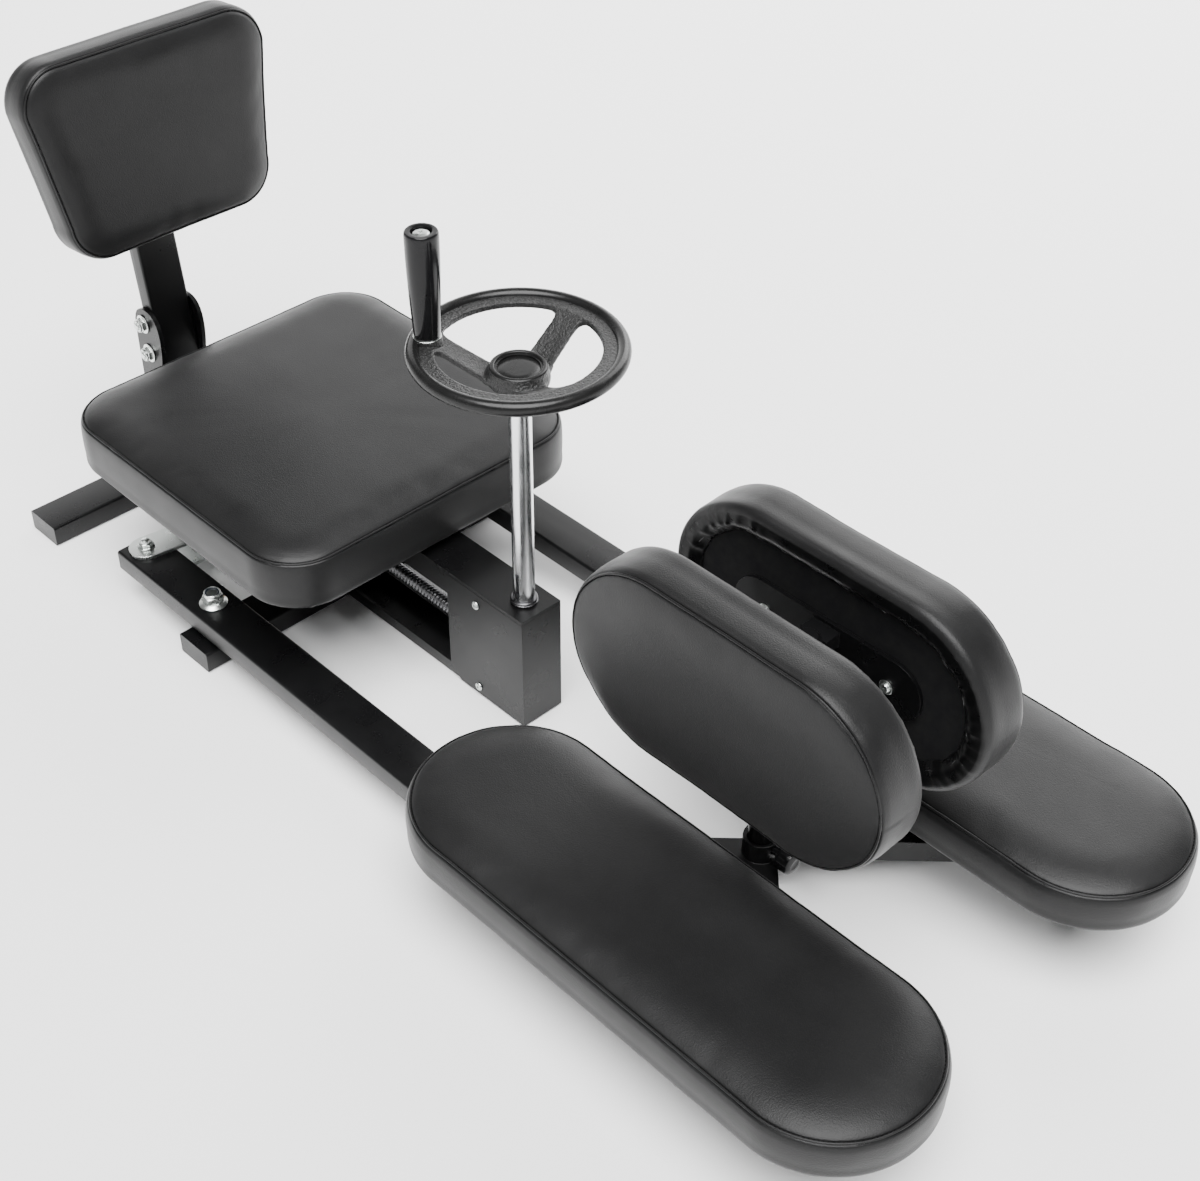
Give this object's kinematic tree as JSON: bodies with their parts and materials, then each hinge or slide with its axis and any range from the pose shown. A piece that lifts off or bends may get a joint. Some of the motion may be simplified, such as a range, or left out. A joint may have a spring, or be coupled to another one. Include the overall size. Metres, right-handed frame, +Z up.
{
  "type": "leg stretching machine",
  "caption": "Padded seat and backrest on a floor beam, with leg pads on arms that a handwheel spreads through bevel gears, a lead screw and links.",
  "frame": {"origin": "on the floor, in the middle of the machine's outline", "axes": "+Z up, -Y the front, where the leg pads are, +X the user's left hand"},
  "size_m": [0.5438, 1.2906, 0.5443],
  "materials": {
    "paint": "black satin powder coat",
    "vinyl": "black matt vinyl over foam",
    "board": "board covered with black cloth",
    "zinc": "bright zinc plate",
    "chrome": "polished chrome",
    "casting": "black textured casting",
    "plastic": "gloss black",
    "steel": "oiled machined steel",
    "bronze": "machined bronze"
  },
  "bodies": {
    "base": {"rear_foot": "paint", "pivot_foot": "paint", "main_beam": "paint", "gearbox_cover": "paint", "cover_screw_lower": "zinc", "cover_screw_upper": "zinc", "shaft_bush": "steel", "screw_bearing_rear": "steel", "screw_bearing_front": "steel", "seat_rail_rear": "paint", "seat_rail_front": "paint", "seat_pad": "vinyl", "seat_board": "board", "backrest_post": "paint", "backrest_plate": "paint", "back_pad": "vinyl", "back_board": "board", "backrest_bracket": "paint", "backrest_bolt_lower": "zinc", "backrest_bolt_upper": "zinc", "pivot_bolt_right": "zinc", "pivot_bolt_left": "zinc"},
    "steering_wheel": {"handwheel": "casting", "steering_tube": "chrome", "wheel_collar": "chrome", "input_bevel_gear": "steel", "handle_screw": "zinc"},
    "grip": {"handle_grip": "plastic"},
    "screw": {"lead_screw": "steel", "output_bevel_gear": "steel"},
    "carriage": {"nut_carriage": "bronze", "carriage_pin_right": "zinc", "carriage_pin_left": "zinc"},
    "link_right": {"link_upper_right": "zinc", "link_lower_right": "zinc", "link_bolt_right": "zinc"},
    "right_arm": {"arm_right": "paint", "side_bracket_right": "paint", "leg_pad_right": "vinyl", "leg_board_right": "board", "roller_fork_right": "zinc"},
    "right_side_pad": {"side_pad_post_right": "paint", "side_pad_right": "vinyl", "side_board_right": "board"},
    "right_knob": {"knob_right": "plastic"},
    "right_roller": {"roller_right": "plastic"},
    "link_left": {"link_upper_left": "zinc", "link_lower_left": "zinc", "link_bolt_left": "zinc"},
    "left_arm": {"arm_left": "paint", "side_bracket_left": "paint", "leg_pad_left": "vinyl", "leg_board_left": "board", "roller_fork_left": "zinc"},
    "left_side_pad": {"side_pad_post_left": "paint", "side_pad_left": "vinyl", "side_board_left": "board"},
    "left_knob": {"knob_left": "plastic"},
    "left_roller": {"roller_left": "plastic"}
  },
  "joints": [
    {"name": "handwheel_spin", "type": "hinge", "parent": "base", "child": "steering_wheel", "pos_m": [0, 0.00088, 0.06], "axis": [0, 0, 1], "range_deg": [0, 17937.3]},
    {"name": "grip_spin", "type": "hinge", "parent": "steering_wheel", "child": "grip", "pos_m": [-0.05098, 0.06612, 0.48], "axis": [0, 0, 1], "continuous": true},
    {"name": "lead_screw_spin", "type": "hinge", "parent": "base", "child": "screw", "pos_m": [0, 0, 0.06], "axis": [0, -1, 0], "range_deg": [0, 17938.3]},
    {"name": "nut_slide", "type": "slide", "parent": "base", "child": "carriage", "axis": [0, -1, 0], "range_m": [0, 0.24923]},
    {"name": "link_right_swing", "type": "hinge", "parent": "carriage", "child": "link_right", "pos_m": [-0.029, 0.39765, 0.0465], "axis": [0, 0, -1], "range_deg": [0, 72.45]},
    {"name": "arm_right_swing", "type": "hinge", "parent": "base", "child": "right_arm", "pos_m": [-0.1763, 0.29598, 0.0465], "axis": [0, 0, -1], "range_deg": [0, 90.05]},
    {"name": "right_pad_slide", "type": "slide", "parent": "right_arm", "child": "right_side_pad", "axis": [0, 0, 1], "range_m": [0, 0.02]},
    {"name": "right_knob_turn", "type": "hinge", "parent": "right_arm", "child": "right_knob", "pos_m": [-0.0195, -0.33902, 0.072], "axis": [0, 1, 0], "continuous": true},
    {"name": "right_roller_spin", "type": "hinge", "parent": "right_arm", "child": "right_roller", "pos_m": [-0.1763, -0.55502, 0.013], "axis": [0, 1, 0], "continuous": true},
    {"name": "link_left_swing", "type": "hinge", "parent": "carriage", "child": "link_left", "pos_m": [0.029, 0.39765, 0.0465], "axis": [0, 0, 1], "range_deg": [0, 72.45]},
    {"name": "arm_left_swing", "type": "hinge", "parent": "base", "child": "left_arm", "pos_m": [0.1763, 0.29598, 0.0465], "axis": [0, 0, 1], "range_deg": [0, 90.05]},
    {"name": "left_pad_slide", "type": "slide", "parent": "left_arm", "child": "left_side_pad", "axis": [0, 0, 1], "range_m": [0, 0.02]},
    {"name": "left_knob_turn", "type": "hinge", "parent": "left_arm", "child": "left_knob", "pos_m": [0.0195, -0.33902, 0.072], "axis": [0, 1, 0], "continuous": true},
    {"name": "left_roller_spin", "type": "hinge", "parent": "left_arm", "child": "left_roller", "pos_m": [0.1763, -0.55502, 0.013], "axis": [0, 1, 0], "continuous": true}
  ],
  "couplings": [
    {"joint": "lead_screw_spin", "follows": "handwheel_spin", "ratio": 1},
    {"joint": "nut_slide", "follows": "handwheel_spin", "m_per_rad": 0.00079578},
    {"joint": "link_right_swing", "follows": "handwheel_spin", "ratio": 0.0040363},
    {"joint": "arm_right_swing", "follows": "handwheel_spin", "ratio": 0.0050175},
    {"joint": "link_left_swing", "follows": "handwheel_spin", "ratio": 0.0040363},
    {"joint": "arm_left_swing", "follows": "handwheel_spin", "ratio": 0.0050175}
  ]
}
